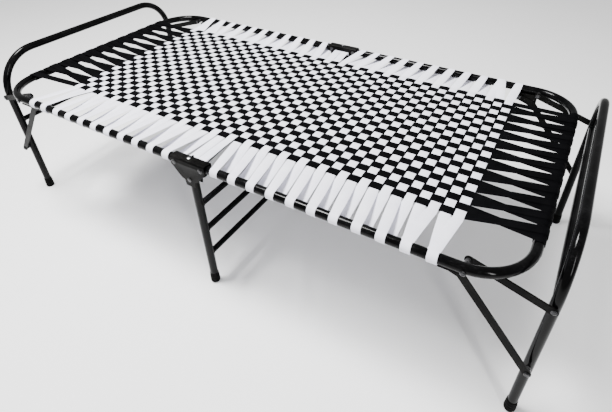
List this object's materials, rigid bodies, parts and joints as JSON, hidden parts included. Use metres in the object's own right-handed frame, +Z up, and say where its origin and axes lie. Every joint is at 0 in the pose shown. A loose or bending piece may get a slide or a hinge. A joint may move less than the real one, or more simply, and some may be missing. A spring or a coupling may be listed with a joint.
{
  "type": "folding cot",
  "caption": "Folding steel-tube cot with crosswise white and lengthwise black webbing, a hinged centre trestle and end loops that fold in as legs.",
  "frame": {"origin": "centre of the footprint on the floor", "axes": "+Z up, X along the length with the foot end at +X and the head end at -X, +Y the left side of someone lying on it"},
  "size_m": [1.8984, 0.9278, 0.5715],
  "materials": {
    "tube": "gloss",
    "flat_steel": "satin",
    "fastener": "satin",
    "rubber_foot": "matte",
    "white_webbing": "woven",
    "black_webbing": "woven"
  },
  "bodies": {
    "centre_trestle": {"right_hinge_bracket": "flat_steel", "right_centre_leg": "tube", "right_centre_leg_bolt": "fastener", "right_centre_foot_cap": "rubber_foot", "left_hinge_bracket": "flat_steel", "left_centre_leg": "tube", "left_centre_leg_bolt": "fastener", "left_centre_foot_cap": "rubber_foot", "centre_crossbar_1": "tube", "centre_crossbar_2": "tube", "centre_crossbar_3": "tube", "centre_white_webbing": "white_webbing", "centre_black_webbing": "black_webbing", "head_right_hinge_rivet": "fastener", "head_left_hinge_rivet": "fastener", "foot_right_hinge_rivet": "fastener", "foot_left_hinge_rivet": "fastener"},
    "head_half": {"head_half_frame": "tube", "head_white_webbing": "white_webbing", "head_black_webbing": "black_webbing", "head_right_link_bracket": "flat_steel", "head_right_upper_link_bolt": "fastener", "head_right_lower_link_rivet": "fastener", "head_left_link_bracket": "flat_steel", "head_left_upper_link_bolt": "fastener", "head_left_lower_link_rivet": "fastener"},
    "head_upper_links": {"head_right_upper_link": "flat_steel", "head_left_upper_link": "flat_steel"},
    "head_leg": {"head_loop": "tube", "head_loop_crossbar": "tube", "head_right_foot_cap": "rubber_foot", "head_right_upper_leg_bolt": "fastener", "head_left_foot_cap": "rubber_foot", "head_left_upper_leg_bolt": "fastener"},
    "head_lower_links": {"head_right_lower_link": "flat_steel", "head_right_lower_leg_bolt": "fastener", "head_left_lower_link": "flat_steel", "head_left_lower_leg_bolt": "fastener"},
    "foot_half": {"foot_half_frame": "tube", "foot_white_webbing": "white_webbing", "foot_black_webbing": "black_webbing", "foot_right_link_bracket": "flat_steel", "foot_right_upper_link_bolt": "fastener", "foot_right_lower_link_rivet": "fastener", "foot_left_link_bracket": "flat_steel", "foot_left_upper_link_bolt": "fastener", "foot_left_lower_link_rivet": "fastener"},
    "foot_upper_links": {"foot_right_upper_link": "flat_steel", "foot_left_upper_link": "flat_steel"},
    "foot_leg": {"foot_loop": "tube", "foot_loop_crossbar": "tube", "foot_right_foot_cap": "rubber_foot", "foot_right_upper_leg_bolt": "fastener", "foot_left_foot_cap": "rubber_foot", "foot_left_upper_leg_bolt": "fastener"},
    "foot_lower_links": {"foot_right_lower_link": "flat_steel", "foot_right_lower_leg_bolt": "fastener", "foot_left_lower_link": "flat_steel", "foot_left_lower_leg_bolt": "fastener"}
  },
  "joints": [
    {"name": "head_fold", "type": "hinge", "parent": "centre_trestle", "child": "head_half", "pos_m": [-0.047, 0, 0.476], "axis": [0, -1, 0], "range_deg": [0, 62]},
    {"name": "head_leg_fold", "type": "hinge", "parent": "head_half", "child": "head_upper_links", "pos_m": [-0.7486, 0, 0.473], "axis": [0, -1, 0], "range_deg": [0, 154.96]},
    {"name": "head_loop_turn", "type": "hinge", "parent": "head_upper_links", "child": "head_leg", "pos_m": [-0.9323, 0, 0.41699], "axis": [0, -1, 0], "range_deg": [-64.98, 0]},
    {"name": "head_lower_link_turn", "type": "hinge", "parent": "head_half", "child": "head_lower_links", "pos_m": [-0.69043, 0, 0.45], "axis": [0, -1, 0], "range_deg": [0, 133.87]},
    {"name": "foot_fold", "type": "hinge", "parent": "centre_trestle", "child": "foot_half", "pos_m": [0.047, 0, 0.476], "axis": [0, 1, 0], "range_deg": [0, 62]},
    {"name": "foot_leg_fold", "type": "hinge", "parent": "foot_half", "child": "foot_upper_links", "pos_m": [0.7486, 0, 0.473], "axis": [0, 1, 0], "range_deg": [0, 154.96]},
    {"name": "foot_loop_turn", "type": "hinge", "parent": "foot_upper_links", "child": "foot_leg", "pos_m": [0.9323, 0, 0.41699], "axis": [0, 1, 0], "range_deg": [-64.98, 0]},
    {"name": "foot_lower_link_turn", "type": "hinge", "parent": "foot_half", "child": "foot_lower_links", "pos_m": [0.69043, 0, 0.45], "axis": [0, 1, 0], "range_deg": [0, 133.87]}
  ],
  "couplings": [
    {"joint": "head_loop_turn", "follows": "head_leg_fold", "ratio": -0.4192},
    {"joint": "head_lower_link_turn", "follows": "head_leg_fold", "ratio": 0.86377},
    {"joint": "foot_loop_turn", "follows": "foot_leg_fold", "ratio": -0.4192},
    {"joint": "foot_lower_link_turn", "follows": "foot_leg_fold", "ratio": 0.86377}
  ]
}
